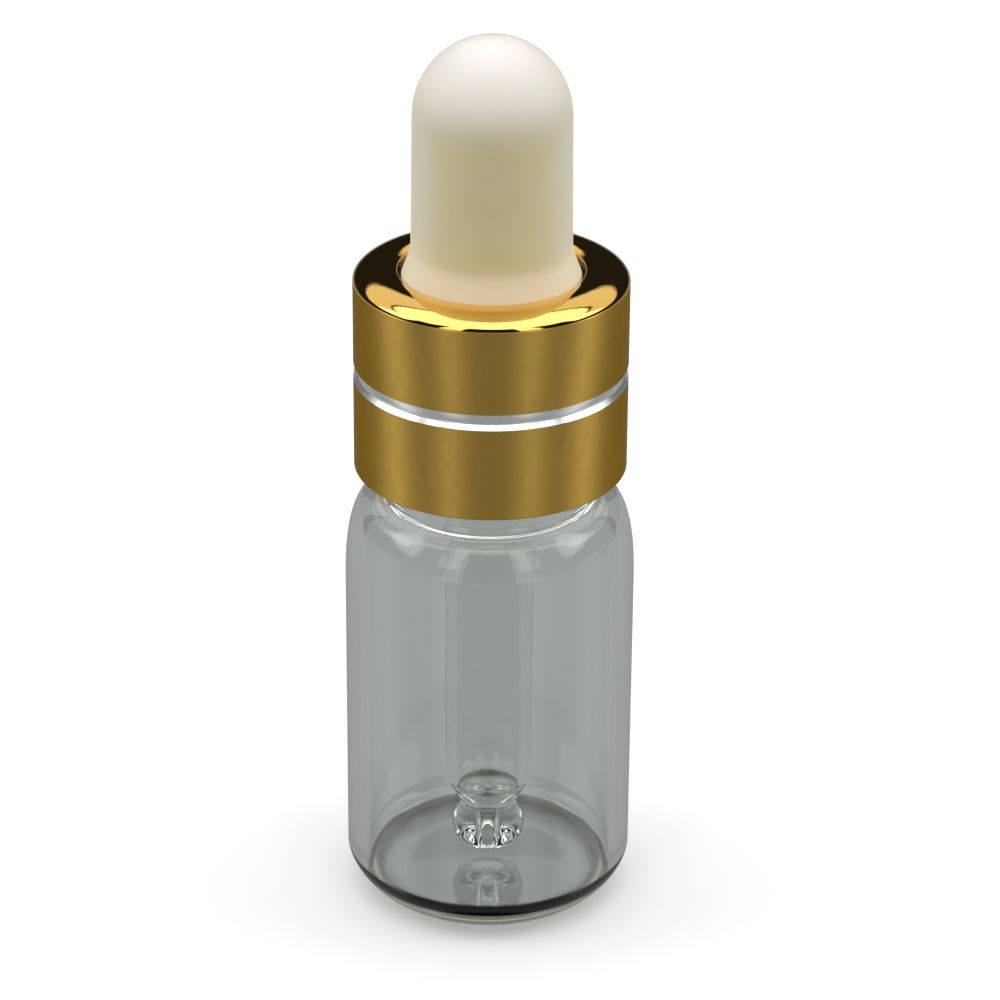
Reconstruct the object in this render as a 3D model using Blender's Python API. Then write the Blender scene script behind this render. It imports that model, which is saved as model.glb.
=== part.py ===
"""Small dropper vial: a screw-necked glass vial closed by a squeeze-bulb dropper.

Five separate pieces, all turned about the Z axis, in metres:
  glass_vial      clear vial with a threaded neck
  inner_cap       plastic screw cap, hidden under the metal
  collar_shell    gold anodised aluminium shell pressed over the cap
  rubber_bulb     hollow teat whose flange is clamped between cap and vial lip
  glass_pipette   tube with a necked, ball-shaped tip, pushed into the bulb's sleeve
The origin is the centre of the foot, on the surface that the vial stands on.
"""

import math

import bmesh
import bpy

MM = 0.001

# Resolution
SEGMENTS = 40               # flats around every turned piece
MERGE_DISTANCE = 1e-7       # far below the smallest edge

# Vial
VIAL_RADIUS = 8.0 * MM
VIAL_HEIGHT = 35.0 * MM
WALL = 1.1 * MM
FOOT_RADIUS = 5.8 * MM      # outer edge of the flat ring the vial stands on
FOOT_RING_WIDTH = 1.2 * MM
PUNT_DEPTH = 0.12 * MM      # shallow hollow under the floor, inside the foot ring
HEEL_HEIGHT = 2.4 * MM
HEEL_EXPONENT = 1.5         # below 2: flatter than a round
FLOOR_THICKNESS = 1.4 * MM
FLOOR_CORNER = 0.45 * MM    # inside round between floor and wall
SHOULDER_START = 19.0 * MM
SHOULDER_TOP = 24.2 * MM
SHOULDER_INSET = 1.7 * MM
SHOULDER_EXPONENT = 2.5
SHOULDER_WALL = 0.7 * MM     # the glass thins where it turns in to the neck
NECK_RADIUS = 5.72 * MM
NECK_FILLET = 0.7 * MM
BORE_RADIUS = 4.2 * MM
LIP_ROUND = 0.3 * MM

# Neck finish, shared by the vial and the cap
PITCH = 2.117 * MM          # 12 threads per inch
VIAL_THREAD_START = 28.9 * MM
VIAL_THREAD_TURNS = 1.75
VIAL_THREAD_CREST = 6.42 * MM
CAP_THREAD_TURNS = 1.75
CAP_THREAD_CREST = 5.95 * MM
THREAD_DROP = 0.82 * MM     # the cap's ridge runs this far under the vial's ridge
THREAD_SINK = 0.12 * MM     # how far a ridge is rooted in its wall
VIAL_RIDGE_FOOT = 1.2 * MM
VIAL_RIDGE_TOP = 0.5 * MM
CAP_RIDGE_FOOT = 0.9 * MM
CAP_RIDGE_TOP = 0.4 * MM

# Collar shell
COLLAR_RADIUS = 7.47 * MM
COLLAR_BOTTOM = 26.0 * MM
COLLAR_TOP = 37.52 * MM
SHEET = 0.34 * MM
CROWN_REACH = 1.75 * MM     # domed top, measured inward from the side
CROWN_DROP = 0.70 * MM      # and downward
HOLE_RADIUS = 5.07 * MM
RIM_DROP = 0.065 * MM       # gentle fall from the crest towards the hole
RIM_ROUND = 0.10 * MM
GROOVE_TOP = 32.14 * MM
GROOVE_VALLEY = 31.50 * MM
GROOVE_BOTTOM = 31.25 * MM
GROOVE_DEPTH = 0.22 * MM

# Inner cap
FIT_GAP = 0.035 * MM        # press fit between cap and shell
CAP_ROOT_RADIUS = 6.60 * MM
CAP_BOTTOM = 26.35 * MM
CAP_PLATE = 0.75 * MM
CAP_HOLE_RADIUS = 5.65 * MM

# Bulb
BULB_RADIUS = 4.27 * MM     # where the dome begins
BULB_FOOT_RADIUS = 4.35 * MM    # where the flare begins
BULB_TOP = 50.43 * MM
BULB_WALL = 1.05 * MM
DOME_HEIGHT = 4.30 * MM
FLARE_TOP = 38.8 * MM
FLARE_RADIUS = 4.85 * MM
FLARE_EXPONENT = 1.3
FLANGE_RADIUS = 6.2 * MM
FLANGE_THICKNESS = 1.15 * MM
CLAMP_GAP = 0.05 * MM       # above and below the flange
SLEEVE_RADIUS = 4.05 * MM
SLEEVE_BOTTOM = 32.2 * MM

# Pipette
PIPETTE_RADIUS = 2.45 * MM
PIPETTE_WALL = 0.7 * MM
PIPETTE_TOP = 39.2 * MM
PIPETTE_GAP = 0.05 * MM     # to the bulb's sleeve
TIP_BOTTOM = 2.45 * MM
TIP_MOUTH_RADIUS = 1.2 * MM
BALL_RADIUS = 2.0 * MM
BALL_MIDDLE = 3.6 * MM
WAIST_RADIUS = 1.57 * MM
WAIST_HEIGHT = 4.9 * MM
TAPER_TOP = 7.0 * MM
TIP_BORE = 0.5 * MM
FUNNEL_BOTTOM = 5.4 * MM    # the bore narrows between these heights
FUNNEL_TOP = 6.4 * MM


def clear_scene():
    for thing in list(bpy.data.objects):
        bpy.data.objects.remove(thing, do_unlink=True)


def material(name, colour, roughness, metallic=0.0, alpha=1.0, transmission=0.0):
    """Principled material for one piece."""
    made = bpy.data.materials.new(name)
    made.use_nodes = True
    shader = made.node_tree.nodes["Principled BSDF"]
    shader.inputs["Base Color"].default_value = (*colour, 1.0)
    shader.inputs["Roughness"].default_value = roughness
    shader.inputs["Metallic"].default_value = metallic
    shader.inputs["Alpha"].default_value = alpha
    shader.inputs["Transmission Weight"].default_value = transmission
    return made


def rounded(start, end, steps, exponent=2.0, upright_first=True):
    """Quarter superellipse from start to end, without its start point.

    It leaves start along Z and reaches end along the radius, or the other way round.
    """
    reach, rise = end[0] - start[0], end[1] - start[1]
    points = []
    for step in range(1, steps + 1):
        angle = 0.5 * math.pi * step / steps
        early = 1.0 - math.cos(angle) ** (2.0 / exponent)
        late = math.sin(angle) ** (2.0 / exponent)
        if upright_first:
            points.append((start[0] + reach * early, start[1] + rise * late))
        else:
            points.append((start[0] + reach * late, start[1] + rise * early))
    return points


def eased(start, end, steps):
    """S-curve from start to end that leaves and arrives along Z, without its start point."""
    points = []
    for step in range(1, steps + 1):
        part = step / steps
        blend = part * part * (3.0 - 2.0 * part)
        points.append((start[0] + (end[0] - start[0]) * blend, start[1] + (end[1] - start[1]) * part))
    return points


def levelling(start, end, steps):
    """Parabola that reaches end level, without its start point."""
    points = []
    for step in range(1, steps + 1):
        part = step / steps
        rise = 1.0 - (1.0 - part) ** 2
        points.append((start[0] + (end[0] - start[0]) * part, start[1] + (end[1] - start[1]) * rise))
    return points


def flared(start, end, steps, exponent):
    """Skirt that widens faster and faster on its way down to end, without its start point."""
    points = []
    for step in range(1, steps + 1):
        part = step / steps
        wide = part ** exponent
        points.append((start[0] + (end[0] - start[0]) * wide, start[1] + (end[1] - start[1]) * part))
    return points


def turned(name, outline, finish, closed):
    """Turn an outline of (radius, height) about Z. It runs down its outer side.

    A closed outline makes a ring; an open one starts and ends on the axis.
    """
    mesh = bpy.data.meshes.new(name)
    edges = [(i, i + 1) for i in range(len(outline) - 1)]
    if closed:
        edges.append((len(outline) - 1, 0))
    mesh.from_pydata([(radius, 0.0, height) for radius, height in outline], edges, [])
    mesh.materials.append(finish)
    piece = bpy.data.objects.new(name, mesh)
    bpy.context.scene.collection.objects.link(piece)
    screw = piece.modifiers.new("Turn", "SCREW")
    screw.axis = "Z"
    screw.steps = SEGMENTS
    screw.render_steps = SEGMENTS
    screw.use_merge_vertices = True
    screw.merge_threshold = MERGE_DISTANCE
    screw.use_smooth_shade = True
    return piece


def thread_ridge(name, root, crest, foot, top, start_height, turns):
    """Closed helical ridge that stands on a wall of radius root and tapers away at both ends."""
    outward = 1.0 if crest > root else -1.0
    steps = int(round(turns * SEGMENTS))
    taper_steps = SEGMENTS // 8
    work = bmesh.new()
    rings = []
    for step in range(steps + 1):
        angle = 2.0 * math.pi * step / SEGMENTS
        height = start_height + PITCH * step / SEGMENTS
        fullness = min(1.0, step / taper_steps, (steps - step) / taper_steps)
        sunk = root - outward * THREAD_SINK
        tip = sunk + (crest - sunk) * (0.1 + 0.9 * fullness)
        section = [(sunk, -foot / 2), (tip, -top / 2), (tip, top / 2), (sunk, foot / 2)]
        rings.append([work.verts.new((radius * math.cos(angle), radius * math.sin(angle), height + offset))
                      for radius, offset in section])
    for near, far in zip(rings, rings[1:]):
        for i in range(4):
            j = (i + 1) % 4
            work.faces.new((near[i], near[j], far[j], far[i]))
    work.faces.new(rings[0])
    work.faces.new(rings[-1])
    bmesh.ops.recalc_face_normals(work, faces=work.faces)
    mesh = bpy.data.meshes.new(name)
    work.to_mesh(mesh)
    work.free()
    ridge = bpy.data.objects.new(name, mesh)
    bpy.context.scene.collection.objects.link(ridge)
    ridge.hide_render = True
    ridge.display_type = "WIRE"
    return ridge


def add_ridge(piece, ridge):
    union = piece.modifiers.new("Thread", "BOOLEAN")
    union.operation = "UNION"
    union.solver = "EXACT"
    union.object = ridge


def glass_vial(finish):
    inner = VIAL_RADIUS - WALL
    inner_shoulder = SHOULDER_TOP - SHOULDER_WALL
    shoulder_radius = VIAL_RADIUS - SHOULDER_INSET
    ring_inside = FOOT_RADIUS - FOOT_RING_WIDTH
    outline = [(0.0, FLOOR_THICKNESS)]
    outline.append((inner - FLOOR_CORNER, FLOOR_THICKNESS))
    outline += rounded(outline[-1], (inner, FLOOR_THICKNESS + FLOOR_CORNER), 4, upright_first=False)
    outline.append((inner, SHOULDER_START))
    outline += rounded(outline[-1], (BORE_RADIUS + NECK_FILLET, inner_shoulder), 6, SHOULDER_EXPONENT)
    outline += rounded(outline[-1], (BORE_RADIUS, inner_shoulder + NECK_FILLET), 3, upright_first=False)
    outline.append((BORE_RADIUS, VIAL_HEIGHT - LIP_ROUND))
    outline += rounded(outline[-1], (BORE_RADIUS + LIP_ROUND, VIAL_HEIGHT), 2)
    outline.append((NECK_RADIUS - LIP_ROUND, VIAL_HEIGHT))
    outline += rounded(outline[-1], (NECK_RADIUS, VIAL_HEIGHT - LIP_ROUND), 2, upright_first=False)
    outline.append((NECK_RADIUS, SHOULDER_TOP + NECK_FILLET))
    outline += rounded(outline[-1], (shoulder_radius, SHOULDER_TOP), 3)
    outline += rounded(outline[-1], (VIAL_RADIUS, SHOULDER_START), 8, SHOULDER_EXPONENT, upright_first=False)
    outline.append((VIAL_RADIUS, HEEL_HEIGHT))
    outline += rounded(outline[-1], (FOOT_RADIUS, 0.0), 6, HEEL_EXPONENT)
    outline.append((ring_inside, 0.0))
    outline += levelling(outline[-1], (0.0, PUNT_DEPTH), 4)
    piece = turned("glass_vial", outline, finish, closed=False)
    add_ridge(piece, thread_ridge("vial_thread_guide", NECK_RADIUS, VIAL_THREAD_CREST, VIAL_RIDGE_FOOT,
                                  VIAL_RIDGE_TOP, VIAL_THREAD_START, VIAL_THREAD_TURNS))
    return piece


def collar_shell(finish):
    inner = COLLAR_RADIUS - SHEET
    under = COLLAR_TOP - SHEET
    rim = COLLAR_TOP - RIM_DROP
    outline = [(HOLE_RADIUS, rim - RIM_ROUND)]
    outline += rounded(outline[-1], (HOLE_RADIUS + RIM_ROUND, rim), 2)
    outline += levelling(outline[-1], (COLLAR_RADIUS - CROWN_REACH, COLLAR_TOP), 2)
    outline += rounded(outline[-1], (COLLAR_RADIUS, COLLAR_TOP - CROWN_DROP), 7, upright_first=False)
    outline.append((COLLAR_RADIUS, GROOVE_TOP))
    outline.append((COLLAR_RADIUS - GROOVE_DEPTH, GROOVE_VALLEY))
    outline.append((COLLAR_RADIUS, GROOVE_BOTTOM))
    outline.append((COLLAR_RADIUS, COLLAR_BOTTOM))
    outline.append((inner, COLLAR_BOTTOM))
    outline.append((inner, under - CROWN_DROP))
    outline += rounded(outline[-1], (inner - CROWN_REACH, under), 6)
    outline.append((HOLE_RADIUS, under))
    return turned("collar_shell", outline, finish, closed=True)


def inner_cap(finish):
    outer = COLLAR_RADIUS - SHEET - FIT_GAP
    top = COLLAR_TOP - SHEET - FIT_GAP
    outline = [(CAP_HOLE_RADIUS, top)]
    outline.append((outer - CROWN_REACH, top))
    outline += rounded(outline[-1], (outer, top - CROWN_DROP), 6, upright_first=False)
    outline.append((outer, CAP_BOTTOM))
    outline.append((CAP_ROOT_RADIUS, CAP_BOTTOM))
    outline.append((CAP_ROOT_RADIUS, top - CAP_PLATE))
    outline.append((CAP_HOLE_RADIUS, top - CAP_PLATE))
    piece = turned("inner_cap", outline, finish, closed=True)
    add_ridge(piece, thread_ridge("cap_thread_guide", CAP_ROOT_RADIUS, CAP_THREAD_CREST, CAP_RIDGE_FOOT,
                                  CAP_RIDGE_TOP, VIAL_THREAD_START - THREAD_DROP, CAP_THREAD_TURNS))
    return piece


def rubber_bulb(finish):
    hollow = BULB_RADIUS - BULB_WALL
    sleeve_bore = PIPETTE_RADIUS + PIPETTE_GAP
    flange_bottom = VIAL_HEIGHT + CLAMP_GAP
    flange_top = flange_bottom + FLANGE_THICKNESS
    seat = PIPETTE_TOP + 2 * CLAMP_GAP
    outline = [(0.0, BULB_TOP)]
    outline += rounded(outline[-1], (BULB_RADIUS, BULB_TOP - DOME_HEIGHT), 10, upright_first=False)
    outline.append((BULB_FOOT_RADIUS, FLARE_TOP))
    outline += flared(outline[-1], (FLARE_RADIUS, COLLAR_TOP - SHEET), 5, FLARE_EXPONENT)
    outline.append((FLARE_RADIUS, flange_top))
    outline.append((FLANGE_RADIUS, flange_top))
    outline.append((FLANGE_RADIUS, flange_bottom))
    outline.append((SLEEVE_RADIUS, flange_bottom))
    outline.append((SLEEVE_RADIUS, SLEEVE_BOTTOM))
    outline.append((sleeve_bore, SLEEVE_BOTTOM))
    outline.append((sleeve_bore, seat))
    outline.append((hollow, seat + (hollow - sleeve_bore)))
    outline.append((hollow, BULB_TOP - DOME_HEIGHT))
    outline += rounded(outline[-1], (0.0, BULB_TOP - BULB_WALL), 8)
    return turned("rubber_bulb", outline, finish, closed=False)


def glass_pipette(finish):
    bore = PIPETTE_RADIUS - PIPETTE_WALL
    outline = [(bore, PIPETTE_TOP), (PIPETTE_RADIUS, PIPETTE_TOP), (PIPETTE_RADIUS, TAPER_TOP)]
    outline += eased(outline[-1], (WAIST_RADIUS, WAIST_HEIGHT), 6)
    outline += eased(outline[-1], (BALL_RADIUS, BALL_MIDDLE), 4)
    outline += rounded(outline[-1], (TIP_MOUTH_RADIUS, TIP_BOTTOM), 4)
    outline.append((TIP_BORE, TIP_BOTTOM))
    outline.append((TIP_BORE, FUNNEL_BOTTOM))
    outline += eased(outline[-1], (bore, FUNNEL_TOP), 5)
    return turned("glass_pipette", outline, finish, closed=True)


clear_scene()
clear_glass = material("clear_glass", (0.90, 0.92, 0.91), 0.03, alpha=0.35, transmission=1.0)
glass_vial(clear_glass)
glass_pipette(material("pipette_glass", (0.90, 0.92, 0.90), 0.03, alpha=0.35, transmission=1.0))
rubber_bulb(material("cream_rubber", (0.86, 0.82, 0.72), 0.55))
inner_cap(material("white_plastic", (0.88, 0.88, 0.86), 0.40))
collar_shell(material("gold_aluminium", (0.72, 0.53, 0.20), 0.30, metallic=1.0))
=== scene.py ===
"""Looks of the dropper vial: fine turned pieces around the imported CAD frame, a camera and a soft studio."""

import math

import bmesh
import bpy
from mathutils import Matrix, Vector


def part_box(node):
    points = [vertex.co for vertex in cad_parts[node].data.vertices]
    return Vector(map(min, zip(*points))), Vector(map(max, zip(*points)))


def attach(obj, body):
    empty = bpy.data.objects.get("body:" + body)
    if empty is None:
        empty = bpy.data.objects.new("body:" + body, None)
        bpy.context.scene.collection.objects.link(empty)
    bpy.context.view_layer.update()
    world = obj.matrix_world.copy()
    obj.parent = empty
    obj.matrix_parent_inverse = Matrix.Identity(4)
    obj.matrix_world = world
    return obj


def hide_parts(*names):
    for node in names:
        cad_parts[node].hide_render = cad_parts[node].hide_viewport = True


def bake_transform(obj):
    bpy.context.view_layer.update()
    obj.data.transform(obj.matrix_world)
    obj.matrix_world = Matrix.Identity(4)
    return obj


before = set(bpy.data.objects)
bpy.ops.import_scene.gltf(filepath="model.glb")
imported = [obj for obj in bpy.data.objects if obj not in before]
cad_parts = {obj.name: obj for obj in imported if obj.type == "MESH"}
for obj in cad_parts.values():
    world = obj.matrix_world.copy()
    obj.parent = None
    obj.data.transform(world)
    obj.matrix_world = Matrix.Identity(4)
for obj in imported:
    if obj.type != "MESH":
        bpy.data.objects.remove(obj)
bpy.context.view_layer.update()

MM = 0.001
TINY = 1e-9
SMOOTH_SEGMENTS = 192
SHARP_ANGLE = math.radians(32.0)    # edges sharper than this aren't shaded smooth

# Sizes read from the frame
vial_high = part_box("glass_vial")[1]
collar_low, collar_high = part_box("collar_shell")
cap_low, cap_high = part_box("inner_cap")
bulb_low, bulb_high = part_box("rubber_bulb")
pipette_low, pipette_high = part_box("glass_pipette")
VIAL_RADIUS, VIAL_HEIGHT = vial_high[0], vial_high[2]
COLLAR_RADIUS, COLLAR_BOTTOM, COLLAR_TOP = collar_high[0], collar_low[2], collar_high[2]
CAP_RADIUS, CAP_BOTTOM, CAP_TOP = cap_high[0], cap_low[2], cap_high[2]
FLANGE_RADIUS, SLEEVE_BOTTOM, BULB_TOP = bulb_high[0], bulb_low[2], bulb_high[2]
PIPETTE_RADIUS, TIP_BOTTOM, PIPETTE_TOP = pipette_high[0], pipette_low[2], pipette_high[2]

# Vial
WALL = 1.1 * MM
FOOT_RADIUS = 5.8 * MM
FOOT_RING_WIDTH = 1.2 * MM
PUNT_DEPTH = 0.12 * MM
HEEL_HEIGHT = 2.4 * MM
HEEL_EXPONENT = 1.5
FLOOR_THICKNESS = 1.4 * MM
FLOOR_CORNER = 0.45 * MM
SHOULDER_START = 19.0 * MM
SHOULDER_TOP = 24.2 * MM
SHOULDER_INSET = 1.7 * MM
SHOULDER_EXPONENT = 2.5
SHOULDER_WALL = 0.7 * MM
NECK_RADIUS = 5.72 * MM
NECK_FILLET = 0.7 * MM
BORE_RADIUS = 4.2 * MM
LIP_ROUND = 0.3 * MM

# Neck finish
PITCH = 2.117 * MM
THREAD_START = 28.9 * MM
THREAD_TURNS = 1.75
VIAL_THREAD_HEIGHT = 0.70 * MM
VIAL_RIDGE_FOOT = 1.2 * MM
VIAL_RIDGE_TOP = 0.5 * MM
CAP_ROOT_RADIUS = 6.60 * MM
CAP_THREAD_HEIGHT = 0.65 * MM
CAP_THREAD_DROP = 0.82 * MM
CAP_RIDGE_FOOT = 0.9 * MM
CAP_RIDGE_TOP = 0.4 * MM
CAP_PLATE = 0.75 * MM
CAP_HOLE_RADIUS = 5.65 * MM
THREAD_ROW = 0.1 * MM       # spacing of mesh rows across a thread
THREAD_FADE = 0.12          # turns over which a thread rises out of the wall at each end

# Collar
SHEET = 0.34 * MM
CROWN_REACH = 1.75 * MM
CROWN_DROP = 0.70 * MM
HOLE_RADIUS = 5.07 * MM
RIM_DROP = 0.065 * MM
RIM_ROUND = 0.10 * MM
GROOVE_TOP = 32.14 * MM
GROOVE_VALLEY = 31.50 * MM
GROOVE_BOTTOM = 31.25 * MM
GROOVE_DEPTH = 0.22 * MM

# Bulb
BULB_RADIUS = 4.27 * MM
BULB_FOOT_RADIUS = 4.35 * MM
BULB_WALL = 1.05 * MM
DOME_HEIGHT = 4.30 * MM
FLARE_TOP = 38.8 * MM
FLARE_RADIUS = 4.85 * MM
FLARE_EXPONENT = 1.3
FLANGE_THICKNESS = 1.15 * MM
CLAMP_GAP = 0.05 * MM
SLEEVE_RADIUS = 4.05 * MM

# Pipette
PIPETTE_WALL = 0.7 * MM
PIPETTE_GAP = 0.05 * MM
TIP_MOUTH_RADIUS = 1.2 * MM
BALL_RADIUS = 2.0 * MM
BALL_MIDDLE = 3.6 * MM
WAIST_RADIUS = 1.57 * MM
WAIST_HEIGHT = 4.9 * MM
TAPER_TOP = 7.0 * MM
TIP_BORE = 0.5 * MM
FUNNEL_BOTTOM = 5.4 * MM
FUNNEL_TOP = 6.4 * MM


# Outlines -------------------------------------------------------------------------------------------------

def rounded(start, end, steps, exponent=2.0, upright_first=True):
    """Quarter superellipse from start to end, without its start point."""
    reach, rise = end[0] - start[0], end[1] - start[1]
    points = []
    for step in range(1, steps + 1):
        angle = 0.5 * math.pi * step / steps
        early = 1.0 - math.cos(angle) ** (2.0 / exponent)
        late = math.sin(angle) ** (2.0 / exponent)
        if upright_first:
            points.append((start[0] + reach * early, start[1] + rise * late))
        else:
            points.append((start[0] + reach * late, start[1] + rise * early))
    return points


def eased(start, end, steps):
    """S-curve from start to end that leaves and arrives along Z, without its start point."""
    points = []
    for step in range(1, steps + 1):
        part = step / steps
        blend = part * part * (3.0 - 2.0 * part)
        points.append((start[0] + (end[0] - start[0]) * blend, start[1] + (end[1] - start[1]) * part))
    return points


def levelling(start, end, steps):
    """Parabola that reaches end level, without its start point."""
    points = []
    for step in range(1, steps + 1):
        part = step / steps
        rise = 1.0 - (1.0 - part) ** 2
        points.append((start[0] + (end[0] - start[0]) * part, start[1] + (end[1] - start[1]) * rise))
    return points


def flared(start, end, steps, exponent):
    """Skirt that widens faster and faster on its way down to end, without its start point."""
    points = []
    for step in range(1, steps + 1):
        part = step / steps
        wide = part ** exponent
        points.append((start[0] + (end[0] - start[0]) * wide, start[1] + (end[1] - start[1]) * part))
    return points


def straight(start, end, spacing):
    """Points along a line no further apart than spacing, without its start point."""
    steps = max(1, math.ceil((Vector(end) - Vector(start)).length / spacing))
    return [tuple(Vector(start).lerp(Vector(end), step / steps)) for step in range(1, steps + 1)]


def soft_step(low, high, value):
    """0 up to low, 1 from high, and a smooth rise between them."""
    part = min(1.0, max(0.0, (value - low) / (high - low)))
    return part * part * (3.0 - 2.0 * part)


def ridge(angle, height, start, turns, foot, top):
    """How fully the thread stands at this place on the wall, from 0 to 1."""
    fullest = 0.0
    for lap in range(math.ceil(turns) + 1):
        turn = angle / (2.0 * math.pi) + lap
        if 0.0 < turn < turns:
            away = abs(height - start - PITCH * turn)
            flank = 1.0 - soft_step(top / 2, foot / 2, away)
            ends = soft_step(0.0, THREAD_FADE, turn) * soft_step(0.0, THREAD_FADE, turns - turn)
            fullest = max(fullest, flank * ends)
    return fullest


def remember_places(mesh):
    """Keep each point's place at rest, so that a look stays put when the piece is moved or bent."""
    places = mesh.attributes.new("rest_place", "FLOAT_VECTOR", "POINT")
    for vertex in mesh.vertices:
        places.data[vertex.index].vector = vertex.co


def turned(name, outline, closed, segments=SMOOTH_SEGMENTS, thread=None):
    """Smooth mesh of an outline of (radius, height) turned about Z. The outline runs down its outer side.

    thread(angle, radius, height) returns the radius of a threaded wall.
    """
    work = bmesh.new()
    rings = []
    for radius, height in outline:
        if radius < TINY:
            rings.append([work.verts.new((0.0, 0.0, height))])
            continue
        ring = []
        for index in range(segments):
            angle = 2.0 * math.pi * index / segments
            reach = thread(angle, radius, height) if thread else radius
            ring.append(work.verts.new((reach * math.cos(angle), reach * math.sin(angle), height)))
        rings.append(ring)
    pairs = list(zip(rings, rings[1:]))
    if closed:
        pairs.append((rings[-1], rings[0]))
    for above, below in pairs:
        for index in range(segments):
            after = (index + 1) % segments
            corners = [above[index % len(above)], below[index % len(below)],
                       below[after % len(below)], above[after % len(above)]]
            work.faces.new(list(dict.fromkeys(corners)))
    bmesh.ops.recalc_face_normals(work, faces=work.faces)
    mesh = bpy.data.meshes.new(name)
    work.to_mesh(mesh)
    work.free()
    mesh.shade_smooth()
    mesh.set_sharp_from_angle(angle=SHARP_ANGLE)
    remember_places(mesh)
    piece = bpy.data.objects.new(name, mesh)
    bpy.context.scene.collection.objects.link(piece)
    return piece


# Materials ------------------------------------------------------------------------------------------------

class Look:
    """A Principled material with helpers that add procedural detail to it.

    Further keywords set the shader's other sockets, such as Sheen_Weight for Sheen Weight.
    """

    def __init__(self, name, colour, roughness, **constants):
        self.material = bpy.data.materials.new(name)
        self.material.use_nodes = True
        self.tree = self.material.node_tree
        self.shader = self.tree.nodes["Principled BSDF"]
        self.shader.inputs["Base Color"].default_value = (*colour, 1.0)
        self.shader.inputs["Roughness"].default_value = roughness
        for socket, value in constants.items():
            self.shader.inputs[socket.replace("_", " ")].default_value = value
        attribute = self.tree.nodes.new("ShaderNodeAttribute")
        attribute.attribute_name = "rest_place"
        self.place = attribute.outputs["Vector"]

    def link(self, source, target):
        self.tree.links.new(source, target)

    def noise(self, scale, stretch=(1.0, 1.0, 1.0), detail=4.0):
        """Noise from 0 to 1 with features about 1/scale metres wide, stretched along an axis below 1."""
        mapping = self.tree.nodes.new("ShaderNodeMapping")
        mapping.inputs["Scale"].default_value = stretch
        self.link(self.place, mapping.inputs["Vector"])
        texture = self.tree.nodes.new("ShaderNodeTexNoise")
        texture.inputs["Scale"].default_value = scale
        texture.inputs["Detail"].default_value = detail
        self.link(mapping.outputs["Vector"], texture.inputs["Vector"])
        return texture.outputs["Fac"]

    def height(self):
        """Height above the foot, in metres."""
        split = self.tree.nodes.new("ShaderNodeSeparateXYZ")
        self.link(self.place, split.inputs["Vector"])
        return split.outputs["Z"]

    def radius(self):
        """Distance from the Z axis, in metres."""
        flat = self.tree.nodes.new("ShaderNodeVectorMath")
        flat.operation = "MULTIPLY"
        flat.inputs[1].default_value = (1.0, 1.0, 0.0)
        self.link(self.place, flat.inputs[0])
        length = self.tree.nodes.new("ShaderNodeVectorMath")
        length.operation = "LENGTH"
        self.link(flat.outputs["Vector"], length.inputs[0])
        return length.outputs["Value"]

    def product(self, *factors):
        """All factors multiplied."""
        result = factors[0]
        for factor in factors[1:]:
            node = self.tree.nodes.new("ShaderNodeMath")
            node.operation = "MULTIPLY"
            self.link(result, node.inputs[0])
            self.link(factor, node.inputs[1])
            result = node.outputs[0]
        return result

    def ramp(self, source, low, high, from_value, to_value):
        """Smooth change from one number to another as source goes from low to high."""
        span = self.tree.nodes.new("ShaderNodeMapRange")
        span.interpolation_type = "SMOOTHSTEP"
        span.inputs["From Min"].default_value = low
        span.inputs["From Max"].default_value = high
        span.inputs["To Min"].default_value = from_value
        span.inputs["To Max"].default_value = to_value
        self.link(source, span.inputs["Value"])
        return span.outputs["Result"]

    def above(self, source, edge, softness):
        """0 up to the edge and 1 from softness past it."""
        return self.ramp(source, edge, edge + softness, 0.0, 1.0)

    def below(self, source, edge, softness):
        """1 up to the edge and 0 from softness past it."""
        return self.ramp(source, edge, edge + softness, 1.0, 0.0)

    def facing(self, low, high):
        """0 where the surface faces the eye, 1 where it is seen edge-on."""
        weight = self.tree.nodes.new("ShaderNodeLayerWeight")
        return self.ramp(weight.outputs["Facing"], low, high, 0.0, 1.0)

    def mixed(self, factor, low, high):
        """One of two colours, or a blend; either may be the output of another mix."""
        mix = self.tree.nodes.new("ShaderNodeMix")
        mix.data_type = "RGBA"
        self.link(factor, mix.inputs["Factor"])
        for socket, colour in (("A", low), ("B", high)):
            if isinstance(colour, tuple):
                mix.inputs[socket].default_value = (*colour, 1.0)
            else:
                self.link(colour, mix.inputs[socket])
        self.link(mix.outputs["Result"], self.shader.inputs["Base Color"])
        return mix.outputs["Result"]

    def rough(self, source, low, high):
        """Roughness that follows a noise from low to high."""
        self.link(self.ramp(source, 0.3, 0.7, low, high), self.shader.inputs["Roughness"])

    def bump(self, source, distance, strength=1.0):
        """Relief of the given depth in metres."""
        relief = self.tree.nodes.new("ShaderNodeBump")
        relief.inputs["Distance"].default_value = distance
        relief.inputs["Strength"].default_value = strength
        self.link(source, relief.inputs["Height"])
        previous = self.shader.inputs["Normal"]
        if previous.is_linked:
            self.link(previous.links[0].from_socket, relief.inputs["Normal"])
        self.link(relief.outputs["Normal"], previous)


# Light that is painted into the vial's glass
HEEL_DARK = (0.0, 0.0, 0.0)     # painted dark band on the heel, where its curve gathers the dim part of the room
FOOT_PAINTED_SHADE = (0.25, 0.26, 0.17)  # and painted greenish shade on the slope below it
BAND_BOTTOM = 1.5 * MM          # where the one changes to the other
BAND_EDGE = 0.15 * MM           # how gradual that change is
SOFT_EDGE = 0.2 * MM            # and every other edge
SEEN_FROM_INSIDE = 0.3          # how much of both shows on the far side, through the vial
TRAPPED_LIGHT = 0.28            # painted glow (emission) met by paths that run round inside the wall
TRAPPED_DEPTH = 5.0             # and the bounce at which they meet it


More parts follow.
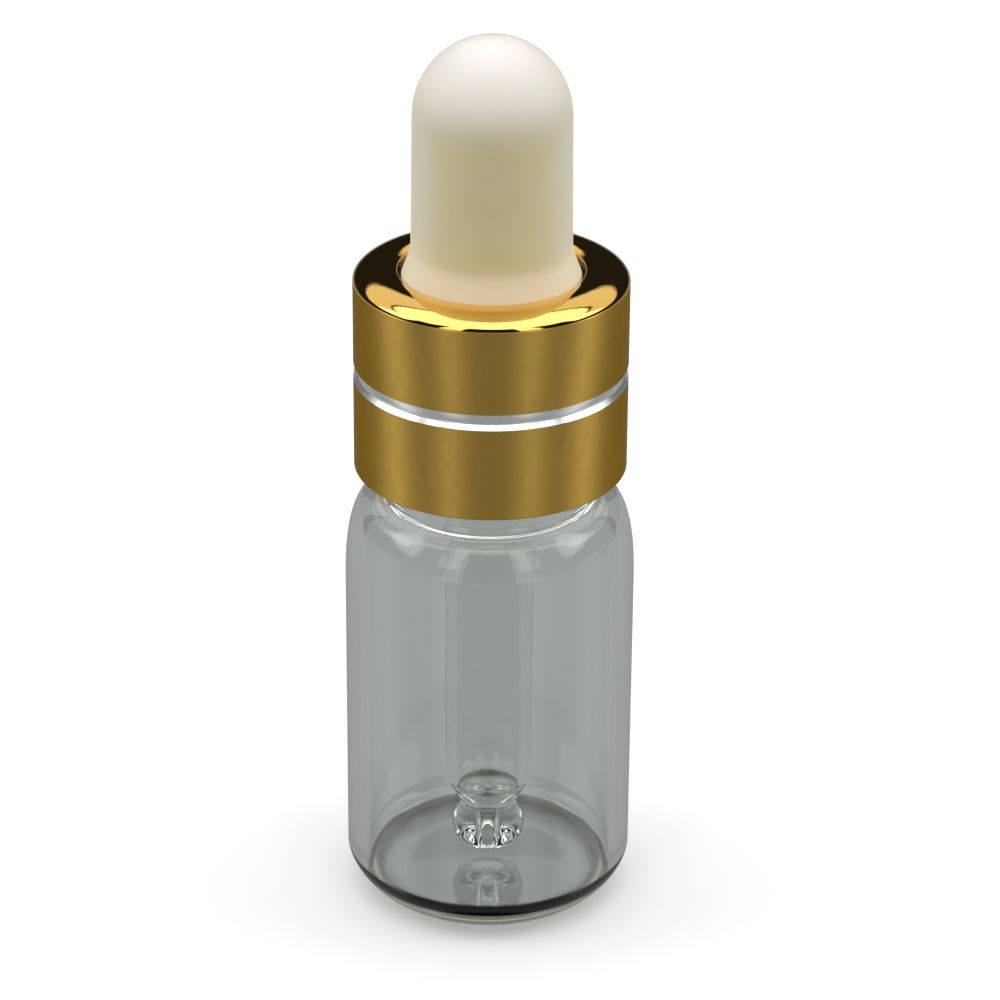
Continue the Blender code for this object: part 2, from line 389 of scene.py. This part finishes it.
def vial_glass_look():
    """Clear glass with faint long waves, painted shade on the heel and its foot, and painted light in its
    wall.
    """
    look = Look("vial_glass", (0.93, 0.95, 0.94), 0.0, Transmission_Weight=1.0, IOR=1.50)
    look.rough(look.noise(900.0), 0.0, 0.02)
    clear = look.mixed(look.noise(160.0, (1.0, 1.0, 0.3)), (0.925, 0.95, 0.94), (0.945, 0.965, 0.955))
    inside = look.tree.nodes.new("ShaderNodeNewGeometry").outputs["Backfacing"]
    near = look.ramp(inside, 0.0, 1.0, 1.0, SEEN_FROM_INSIDE)
    # painted greenish shade on the foot's slope, below the heel's band
    slope = look.product(near, look.above(look.radius(), FOOT_RADIUS + 0.1 * MM, SOFT_EDGE),
                         look.below(look.height(), BAND_BOTTOM, BAND_EDGE))
    foot = look.mixed(slope, clear, FOOT_PAINTED_SHADE)
    # painted dark band round the heel
    band = look.product(near, look.above(look.radius(), VIAL_RADIUS - WALL + 0.1 * MM, SOFT_EDGE),
                        look.above(look.height(), BAND_BOTTOM, BAND_EDGE),
                        look.below(look.height(), HEEL_HEIGHT, SOFT_EDGE))
    look.mixed(band, foot, HEEL_DARK)
    # painted light: the glass glows for paths that have bounced round inside its wall
    path = look.tree.nodes.new("ShaderNodeLightPath")
    depth = path.outputs["Ray Depth"]
    trapped = look.product(look.ramp(depth, TRAPPED_DEPTH - 1.0, TRAPPED_DEPTH, 0.0, TRAPPED_LIGHT),
                           look.below(depth, TRAPPED_DEPTH, 1.0),
                           look.below(path.outputs["Is Transmission Ray"], 0.0, 1.0))
    look.link(trapped, look.shader.inputs["Emission Strength"])
    look.shader.inputs["Emission Color"].default_value = (1.0, 1.02, 1.01, 1.0)
    look.bump(look.noise(260.0, (1.0, 1.0, 0.12), 2.0), 0.02 * MM)
    return look.material


def pipette_glass_look():
    """Clear drawn glass, with faint streaks along the tube."""
    look = Look("pipette_glass", (0.96, 0.97, 0.95), 0.0, Transmission_Weight=1.0, IOR=1.50)
    look.rough(look.noise(900.0), 0.0, 0.02)
    look.mixed(look.noise(200.0, (1.0, 1.0, 0.3)), (0.95, 0.965, 0.94), (0.98, 0.985, 0.97))
    look.bump(look.noise(500.0, (1.0, 1.0, 0.08), 2.0), 0.015 * MM)
    return look.material


def rubber_look():
    """Translucent rubber with painted light on its skirt, edges, shoulder and dome, and painted shade in the
    collar.
    """
    look = Look("cream_rubber", (0.88, 0.80, 0.48), 0.5, Specular_IOR_Level=0.5, Subsurface_Weight=0.15,
                Subsurface_Scale=0.6 * MM, Sheen_Weight=1.0, Sheen_Roughness=0.4,
                Sheen_Tint=(1.0, 0.93, 0.72, 1.0))
    barrel = look.mixed(look.noise(350.0), (0.86, 0.775, 0.45), (0.90, 0.815, 0.49))
    # The edge of each band of painted light or shade, from the collar's top or the bulb's top, and how
    # gradual it is
    at_skirt = look.below(look.height(), COLLAR_TOP + 0.48 * MM, 1.4 * MM)
    at_shoulder = look.above(look.height(), BULB_TOP - 5.23 * MM, 2.6 * MM)
    at_dome = look.above(look.height(), BULB_TOP - 2.83 * MM, 2.2 * MM)
    in_collar = look.below(look.height(), COLLAR_TOP - 0.72 * MM, 0.4 * MM)
    # painted warm light on the skirt, bounced up from the gold collar
    skirt = look.mixed(at_skirt, barrel, (1.0, 0.86, 0.64))
    # painted sheen: paler edges where the rubber is seen edge-on
    edges = look.mixed(look.facing(0.12, 0.65), skirt, (1.0, 0.95, 0.77))
    # painted light from overhead: a paler shoulder and a whiter dome
    shoulder = look.mixed(at_shoulder, edges, (0.93, 0.88, 0.77))
    dome = look.mixed(at_dome, shoulder, (0.80, 0.76, 0.73))
    # painted shade where the rubber sits inside the collar
    look.mixed(in_collar, dome, (0.20, 0.14, 0.06))
    look.rough(look.noise(2500.0), 0.42, 0.58)
    look.bump(look.noise(9000.0), 0.006 * MM)
    look.bump(look.noise(500.0), 0.015 * MM)
    return look.material


SKIRT_GLOW = 1.0        # painted glow for the daylight that the glass neck carries up into the translucent cap
GLOW_RISE = 5.65 * MM   # how far above the cap's lower edge it stays full
GLOW_FADE = 2.0 * MM


def cap_plastic_look():
    """Moulded white plastic with a painted glow low on its skirt, where the daylight would reach it."""
    look = Look("white_plastic", (0.86, 0.86, 0.84), 0.35, Subsurface_Weight=0.05,
                Subsurface_Scale=0.5 * MM)
    look.mixed(look.noise(400.0), (0.84, 0.84, 0.82), (0.88, 0.88, 0.865))
    look.rough(look.noise(1500.0), 0.30, 0.45)
    look.bump(look.noise(6000.0), 0.004 * MM)
    fade_from = CAP_BOTTOM + GLOW_RISE
    # painted light: the glow fades out up the skirt
    skirt = look.ramp(look.height(), fade_from, fade_from + GLOW_FADE, SKIRT_GLOW, 0.0)
    look.link(skirt, look.shader.inputs["Emission Strength"])
    look.shader.inputs["Emission Color"].default_value = (0.95, 0.98, 0.96, 1.0)
    return look.material


def satin_gold_look():
    """Gold anodising on a fine-grained satin surface."""
    look = Look("satin_gold", (0.62, 0.39, 0.085), 0.3, Metallic=1.0,
                Specular_Tint=(0.80, 0.62, 0.35, 1.0))
    look.mixed(look.noise(500.0, (1.0, 1.0, 0.4)), (0.59, 0.375, 0.08), (0.65, 0.415, 0.095))
    look.rough(look.noise(1800.0), 0.27, 0.33)
    look.bump(look.noise(14000.0, detail=1.0), 0.0012 * MM)
    return look.material


def polished_gold_look():
    """The same anodising on the polished crown, with the faint waves of a drawn sheet."""
    look = Look("polished_gold", (0.95, 0.57, 0.135), 0.03, Metallic=1.0)
    look.mixed(look.noise(300.0), (0.93, 0.555, 0.125), (0.97, 0.585, 0.145))
    look.rough(look.noise(2500.0), 0.02, 0.05)
    look.bump(look.noise(700.0), 0.008 * MM)
    return look.material


def bare_aluminium_look():
    """The groove, where the cutter went through the gold: fine lathe lines run round it."""
    look = Look("bare_aluminium", (0.90, 0.91, 0.92), 0.16, Metallic=0.75)
    look.mixed(look.noise(600.0), (0.87, 0.885, 0.90), (0.93, 0.935, 0.94))
    look.rough(look.noise(3000.0, (0.05, 0.05, 1.0)), 0.12, 0.22)
    look.bump(look.noise(9000.0, (0.02, 0.02, 1.0), 1.0), 0.0005 * MM)
    return look.material


# Pieces ---------------------------------------------------------------------------------------------------

def make_vial():
    inner = VIAL_RADIUS - WALL
    inner_shoulder = SHOULDER_TOP - SHOULDER_WALL
    ring_inside = FOOT_RADIUS - FOOT_RING_WIDTH
    outline = [(0.0, FLOOR_THICKNESS)]
    outline += straight(outline[-1], (inner - FLOOR_CORNER, FLOOR_THICKNESS), 0.8 * MM)
    outline += rounded(outline[-1], (inner, FLOOR_THICKNESS + FLOOR_CORNER), 16, upright_first=False)
    outline += straight(outline[-1], (inner, SHOULDER_START), 1.5 * MM)
    outline += rounded(outline[-1], (BORE_RADIUS + NECK_FILLET, inner_shoulder), 24, SHOULDER_EXPONENT)
    outline += rounded(outline[-1], (BORE_RADIUS, inner_shoulder + NECK_FILLET), 10, upright_first=False)
    outline += straight(outline[-1], (BORE_RADIUS, VIAL_HEIGHT - LIP_ROUND), 1.0 * MM)
    outline += rounded(outline[-1], (BORE_RADIUS + LIP_ROUND, VIAL_HEIGHT), 8)
    outline.append((NECK_RADIUS - LIP_ROUND, VIAL_HEIGHT))
    outline += rounded(outline[-1], (NECK_RADIUS, VIAL_HEIGHT - LIP_ROUND), 8, upright_first=False)
    outline += straight(outline[-1], (NECK_RADIUS, SHOULDER_TOP + NECK_FILLET), THREAD_ROW)
    outline += rounded(outline[-1], (VIAL_RADIUS - SHOULDER_INSET, SHOULDER_TOP), 10)
    outline += rounded(outline[-1], (VIAL_RADIUS, SHOULDER_START), 28, SHOULDER_EXPONENT,
                       upright_first=False)
    outline += straight(outline[-1], (VIAL_RADIUS, HEEL_HEIGHT), 1.5 * MM)
    outline += rounded(outline[-1], (FOOT_RADIUS, 0.0), 24, HEEL_EXPONENT)
    outline.append((ring_inside, 0.0))
    outline += levelling(outline[-1], (0.0, PUNT_DEPTH), 12)

    def neck(angle, radius, height):
        if abs(radius - NECK_RADIUS) > TINY:
            return radius
        full = ridge(angle, height, THREAD_START, THREAD_TURNS, VIAL_RIDGE_FOOT, VIAL_RIDGE_TOP)
        return radius + VIAL_THREAD_HEIGHT * full

    piece = turned("vial_glass", outline, closed=False, thread=neck)
    piece.data.materials.append(vial_glass_look())
    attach(piece, "vial")
    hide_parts("glass_vial")


def make_pipette():
    bore = PIPETTE_RADIUS - PIPETTE_WALL
    edge = 0.12 * MM
    outline = [(bore, PIPETTE_TOP - edge)]
    outline += rounded(outline[-1], (bore + edge, PIPETTE_TOP), 4)
    outline.append((PIPETTE_RADIUS - edge, PIPETTE_TOP))
    outline += rounded(outline[-1], (PIPETTE_RADIUS, PIPETTE_TOP - edge), 4, upright_first=False)
    outline += straight(outline[-1], (PIPETTE_RADIUS, TAPER_TOP), 1.0 * MM)
    outline += eased(outline[-1], (WAIST_RADIUS, WAIST_HEIGHT), 24)
    outline += eased(outline[-1], (BALL_RADIUS, BALL_MIDDLE), 16)
    outline += rounded(outline[-1], (TIP_MOUTH_RADIUS, TIP_BOTTOM), 14)
    outline += rounded(outline[-1], (TIP_BORE, TIP_BOTTOM + edge), 4, upright_first=False)
    outline += straight(outline[-1], (TIP_BORE, FUNNEL_BOTTOM), 0.5 * MM)
    outline += eased(outline[-1], (bore, FUNNEL_TOP), 20)
    outline += straight(outline[-1], (bore, PIPETTE_TOP - edge), 1.0 * MM)[:-1]
    piece = turned("pipette_glass", outline, closed=True, segments=96)
    piece.data.materials.append(pipette_glass_look())
    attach(piece, "dropper")
    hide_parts("glass_pipette")


def make_bulb():
    hollow = BULB_RADIUS - BULB_WALL
    sleeve_bore = PIPETTE_RADIUS + PIPETTE_GAP
    flange_bottom = VIAL_HEIGHT + CLAMP_GAP
    flange_top = flange_bottom + FLANGE_THICKNESS
    dome_base = BULB_TOP - DOME_HEIGHT
    seat = PIPETTE_TOP + 2 * CLAMP_GAP
    edge = 0.15 * MM
    outline = [(0.0, BULB_TOP)]
    outline += rounded(outline[-1], (BULB_RADIUS, dome_base), 40, upright_first=False)
    outline += straight(outline[-1], (BULB_FOOT_RADIUS, FLARE_TOP), 0.5 * MM)
    outline += flared(outline[-1], (FLARE_RADIUS, COLLAR_TOP - SHEET), 16, FLARE_EXPONENT)
    outline.append((FLARE_RADIUS, flange_top))
    outline.append((FLANGE_RADIUS - edge, flange_top))
    outline += rounded(outline[-1], (FLANGE_RADIUS, flange_top - edge), 4, upright_first=False)
    outline.append((FLANGE_RADIUS, flange_bottom + edge))
    outline += rounded(outline[-1], (FLANGE_RADIUS - edge, flange_bottom), 4)
    outline.append((SLEEVE_RADIUS, flange_bottom))
    outline.append((SLEEVE_RADIUS, SLEEVE_BOTTOM + edge))
    outline += rounded(outline[-1], (SLEEVE_RADIUS - edge, SLEEVE_BOTTOM), 4)
    outline.append((sleeve_bore, SLEEVE_BOTTOM))
    outline.append((sleeve_bore, seat))
    outline.append((hollow, seat + (hollow - sleeve_bore)))
    outline += straight(outline[-1], (hollow, dome_base), 0.5 * MM)
    outline += rounded(outline[-1], (0.0, BULB_TOP - BULB_WALL), 24)
    piece = turned("bulb_rubber", outline, closed=False, segments=128)
    piece.data.materials.append(rubber_look())
    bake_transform(piece)
    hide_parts("rubber_bulb")


def make_cap():
    rim = 0.12 * MM
    under = CAP_TOP - CAP_PLATE
    outline = [(CAP_HOLE_RADIUS, CAP_TOP)]
    outline.append((CAP_RADIUS - CROWN_REACH, CAP_TOP))
    outline += rounded(outline[-1], (CAP_RADIUS, CAP_TOP - CROWN_DROP), 12, upright_first=False)
    outline.append((CAP_RADIUS, CAP_BOTTOM + rim))
    outline += rounded(outline[-1], (CAP_RADIUS - rim, CAP_BOTTOM), 4)
    outline.append((CAP_ROOT_RADIUS + rim, CAP_BOTTOM))
    outline += rounded(outline[-1], (CAP_ROOT_RADIUS, CAP_BOTTOM + rim), 4, upright_first=False)
    outline += straight(outline[-1], (CAP_ROOT_RADIUS, under), THREAD_ROW)
    outline.append((CAP_HOLE_RADIUS, under))

    def skirt(angle, radius, height):
        if abs(radius - CAP_ROOT_RADIUS) > TINY:
            return radius
        start = THREAD_START - CAP_THREAD_DROP
        full = ridge(angle, height, start, THREAD_TURNS, CAP_RIDGE_FOOT, CAP_RIDGE_TOP)
        return radius - CAP_THREAD_HEIGHT * full

    piece = turned("cap_plastic", outline, closed=True, segments=128, thread=skirt)
    piece.data.materials.append(cap_plastic_look())
    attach(piece, "closure")
    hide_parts("inner_cap")


def make_collar():
    inner = COLLAR_RADIUS - SHEET
    under = COLLAR_TOP - SHEET
    rim = 0.10 * MM
    crest = COLLAR_TOP - RIM_DROP
    outline = [(HOLE_RADIUS, crest - RIM_ROUND)]
    outline += rounded(outline[-1], (HOLE_RADIUS + RIM_ROUND, crest), 8)
    outline += levelling(outline[-1], (COLLAR_RADIUS - CROWN_REACH, COLLAR_TOP), 8)
    outline += rounded(outline[-1], (COLLAR_RADIUS, COLLAR_TOP - CROWN_DROP), 48, upright_first=False)
    outline.append((COLLAR_RADIUS, GROOVE_TOP))
    outline.append((COLLAR_RADIUS - GROOVE_DEPTH, GROOVE_VALLEY))
    outline.append((COLLAR_RADIUS, GROOVE_BOTTOM))
    outline.append((COLLAR_RADIUS, COLLAR_BOTTOM + rim))
    outline += rounded(outline[-1], (COLLAR_RADIUS - rim, COLLAR_BOTTOM), 5)
    outline.append((inner, COLLAR_BOTTOM))
    outline.append((inner, under - CROWN_DROP))
    outline += rounded(outline[-1], (inner - CROWN_REACH, under), 12)
    outline.append((HOLE_RADIUS, under))
    piece = turned("collar_metal", outline, closed=True)
    for look in (satin_gold_look, polished_gold_look, bare_aluminium_look):
        piece.data.materials.append(look())
    satin_top = COLLAR_TOP - CROWN_DROP
    for face in piece.data.polygons:
        reach = math.hypot(face.center.x, face.center.y)
        if reach > COLLAR_RADIUS - GROOVE_DEPTH and GROOVE_BOTTOM < face.center.z < GROOVE_TOP:
            face.material_index = 2
        elif face.center.z > satin_top and face.normal.z > -0.5:
            face.material_index = 1
    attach(piece, "closure")
    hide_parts("collar_shell")


# Studio ---------------------------------------------------------------------------------------------------

LENS = 145.2
CAMERA_DISTANCE = 222.1 * MM
CAMERA_PITCH = math.radians(25.70)
CAMERA_ROLL = math.radians(0.43)
AIM_HEIGHT = 23.65 * MM
AIM_SIDE = 0.544 * MM


def make_camera():
    data = bpy.data.cameras.new("camera")
    data.lens = LENS
    data.clip_start, data.clip_end = 0.01, 10.0
    camera = bpy.data.objects.new("camera", data)
    camera.location = (AIM_SIDE, -CAMERA_DISTANCE * math.cos(CAMERA_PITCH),
                       AIM_HEIGHT + CAMERA_DISTANCE * math.sin(CAMERA_PITCH))
    towards = Vector((0.0, math.cos(CAMERA_PITCH), -math.sin(CAMERA_PITCH)))
    turn = towards.to_track_quat("-Z", "Y").to_matrix().to_4x4()
    camera.rotation_euler = (turn @ Matrix.Rotation(CAMERA_ROLL, 4, "Z")).to_euler()
    bpy.context.scene.collection.objects.link(camera)
    bpy.context.scene.camera = camera


class Sky:
    """World whose brightness is set by direction: soft cards on a dim surround.

    Angles are in degrees. Azimuth is 0 towards the camera and 180 behind the vial, the same on both sides.
    """

    def __init__(self):
        world = bpy.data.worlds.new("studio")
        bpy.context.scene.world = world
        world.use_nodes = True
        self.tree = world.node_tree
        split = self.tree.nodes.new("ShaderNodeSeparateXYZ")
        direction = self.tree.nodes.new("ShaderNodeTexCoord").outputs["Generated"]
        self.tree.links.new(direction, split.inputs[0])
        x, y, z = split.outputs
        self.elevation = self.maths("ARCSINE", z)
        self.azimuth = self.maths("ABSOLUTE", self.maths("ARCTAN2", x, self.maths("MULTIPLY", y, -1.0)))
        self.light_path = self.tree.nodes.new("ShaderNodeLightPath")

    def maths(self, operation, *values):
        """A math node on numbers or other nodes' outputs."""
        node = self.tree.nodes.new("ShaderNodeMath")
        node.operation = operation
        for socket, value in zip(node.inputs, values):
            if isinstance(value, (int, float)):
                socket.default_value = value
            else:
                self.tree.links.new(value, socket)
        return node.outputs[0]

    def step(self, source, low, high, from_value=0.0, to_value=1.0):
        """Smooth change from one number to another as an angle goes from low to high."""
        span = self.tree.nodes.new("ShaderNodeMapRange")
        span.interpolation_type = "SMOOTHSTEP"
        span.inputs["From Min"].default_value = math.radians(low)
        span.inputs["From Max"].default_value = math.radians(high)
        span.inputs["To Min"].default_value = from_value
        span.inputs["To Max"].default_value = to_value
        self.tree.links.new(source, span.inputs["Value"])
        return span.outputs["Result"]

    def bell(self, source, middle, width):
        """1 at middle, falling smoothly to 0 at width degrees either side."""
        away = self.maths("ABSOLUTE", self.maths("SUBTRACT", source, math.radians(middle)))
        return self.step(away, 0.0, width, 1.0, 0.0)

    def between(self, source, rise_from, rise_to, fall_from, fall_to):
        """1 between two soft edges."""
        return self.maths("MULTIPLY", self.step(source, rise_from, rise_to),
                        self.step(source, fall_from, fall_to, 1.0, 0.0))

    def part(self, brightness, *factors):
        """A brightness limited to where every factor is 1."""
        for factor in factors:
            brightness = self.maths("MULTIPLY", brightness, factor)
        return brightness

    def total(self, *values):
        """All values added up."""
        added = values[0]
        for value in values[1:]:
            added = self.maths("ADD", added, value)
        return added

    def finish(self, brightness, seen_colour):
        """The camera sees a plain pale backdrop; the cards only light and reflect."""
        nodes, links = self.tree.nodes, self.tree.links
        lighting = nodes["Background"]
        links.new(brightness, lighting.inputs["Strength"])
        lighting.inputs["Color"].default_value = (1.0, 1.0, 0.99, 1.0)
        backdrop = nodes.new("ShaderNodeBackground")
        backdrop.inputs["Color"].default_value = (*seen_colour, 1.0)
        mix = nodes.new("ShaderNodeMixShader")
        links.new(self.light_path.outputs["Is Camera Ray"], mix.inputs["Fac"])
        links.new(lighting.outputs["Background"], mix.inputs[1])
        links.new(backdrop.outputs["Background"], mix.inputs[2])
        links.new(mix.outputs["Shader"], nodes["World Output"].inputs["Surface"])


ROOM = 0.015            # brightness of the dim room above the table
THROUGH_GLASS = 0.27    # added to the room where it is seen through the glass
OVERHEAD = 2.2          # brightness of the large overhead light
GLOW = 0.85             # brightness of the lit walls behind, above the dim part of the room
BESIDE = 3.0            # brightness of the raised light on each side
FRONT = 1.6             # brightness of the two upright lights left and right of the camera
TABLE = 0.27            # brightness of the table in the gloss, with two pairs of brighter bands
NEAR_BAND = 0.44
SIDE_BAND = 0.55
CARD_SHIFT = math.radians(6.0)
BACKDROP = (1.0, 1.0, 1.0)


def make_sky():
    """Every pair of numbers is one soft edge of a light, in degrees of elevation or azimuth.

    The overhead light starts CARD_SHIFT higher towards the camera, and the lit walls start as much lower
    towards the sides.
    """
    sky = Sky()
    raised = sky.step(sky.azimuth, 45.0, 65.0, CARD_SHIFT, 0.0)
    lowered = sky.step(sky.azimuth, 115.0, 155.0, CARD_SHIFT, 0.0)
    overhead = sky.part(OVERHEAD, sky.step(sky.maths("SUBTRACT", sky.elevation, raised), 46.5, 49.0))
    glow = sky.part(GLOW, sky.between(sky.maths("ADD", sky.elevation, lowered), 27.0, 30.5, 60.0, 61.0),
                    sky.step(sky.elevation, 45.0, 46.5, 1.0, 0.0), sky.step(sky.azimuth, 105.0, 115.0))
    beside = sky.part(BESIDE, sky.between(sky.elevation, 22.0, 27.0, 44.0, 49.0),
                      sky.between(sky.azimuth, 72.0, 80.0, 105.0, 115.0))
    front = sky.part(FRONT, sky.between(sky.elevation, 8.0, 12.0, 52.0, 55.0),
                     sky.between(sky.azimuth, 22.0, 25.0, 40.0, 44.0))
    low = sky.part(1.0, sky.step(sky.elevation, -1.0, 0.0, 1.0, 0.0),
                   sky.step(sky.elevation, -80.0, -70.0, 0.1, 1.0))
    far = sky.step(sky.elevation, -56.0, -42.0)
    near_bands = sky.part(NEAR_BAND, sky.bell(sky.azimuth, 35.0, 18.0), far)
    side_bands = sky.part(SIDE_BAND, sky.bell(sky.azimuth, 88.0, 24.0), far)
    table = sky.part(1.0, sky.total(TABLE, near_bands, side_bands), low)
    through = sky.part(THROUGH_GLASS, sky.light_path.outputs["Is Transmission Ray"])
    sky.finish(sky.total(ROOM, through, overhead, glow, beside, front, table), BACKDROP)


FLOOR_REACH = 1.5       # metres from the middle of the floor to its edges


def make_plane(name, height, colour_low, colour_high, glow):
    """A level plane of one even, very slightly mottled colour, with some light of its own."""
    mesh = bpy.data.meshes.new(name)
    sides = ((-1, -1), (1, -1), (1, 1), (-1, 1))
    corners = [(FLOOR_REACH * x, FLOOR_REACH * y, height) for x, y in sides]
    mesh.from_pydata(corners, [], [(0, 1, 2, 3)])
    remember_places(mesh)
    plane = bpy.data.objects.new(name, mesh)
    bpy.context.scene.collection.objects.link(plane)
    look = Look(name, colour_low, 0.6, Specular_IOR_Level=0.0)
    look.mixed(look.noise(3.0), colour_low, colour_high)
    look.shader.inputs["Emission Color"].default_value = (1.0, 1.02, 1.01, 1.0)
    look.shader.inputs["Emission Strength"].default_value = glow
    mesh.materials.append(look.material)
    return plane, look


PALE_TONES = (0.60, 0.60, 0.595), (0.62, 0.62, 0.615)
GREY_TONES = (0.08, 0.083, 0.082), (0.085, 0.088, 0.087)
PALE_GLOW = 0.30        # brightness of the pale floor's own light
GREY_GLOW = 0.27        # and of the grey one's, in the open
SHADE_MIDDLE = 0.13     # in the vial's own shade, under its middle
SHADE_EDGE = 0.02       # and under its heel


def make_floor():
    """The camera sees a pale floor. The glass and the rubber see a grey one at the same place.

    It is like a bright object cut out from the grey sweep it stood on.
    """
    pale = make_plane("pale_floor", 0.0, *PALE_TONES, PALE_GLOW)[0]
    pale.visible_diffuse = False
    pale.visible_glossy = False
    pale.visible_transmission = False
    pale.visible_shadow = False
    grey, look = make_plane("grey_floor", -0.01 * MM, *GREY_TONES, GREY_GLOW)
    grey.visible_camera = False
    grey.visible_glossy = False
    # painted shadow: the grey floor's own light is dimmed under and around the vial
    inside = look.ramp(look.radius(), FOOT_RADIUS - 0.8 * MM, FOOT_RADIUS + 0.5 * MM,
                       SHADE_MIDDLE, SHADE_EDGE)
    outside = look.ramp(look.radius(), VIAL_RADIUS, VIAL_RADIUS + 1.5 * MM,
                        0.0, GREY_GLOW - SHADE_EDGE)
    shade = look.tree.nodes.new("ShaderNodeMath")
    shade.operation = "ADD"
    look.link(inside, shade.inputs[0])
    look.link(outside, shade.inputs[1])
    look.link(shade.outputs[0], look.shader.inputs["Emission Strength"])


make_vial()
make_pipette()
make_bulb()
make_cap()
make_collar()
make_camera()
make_sky()
make_floor()
bpy.context.scene.view_settings.view_transform = "Standard"
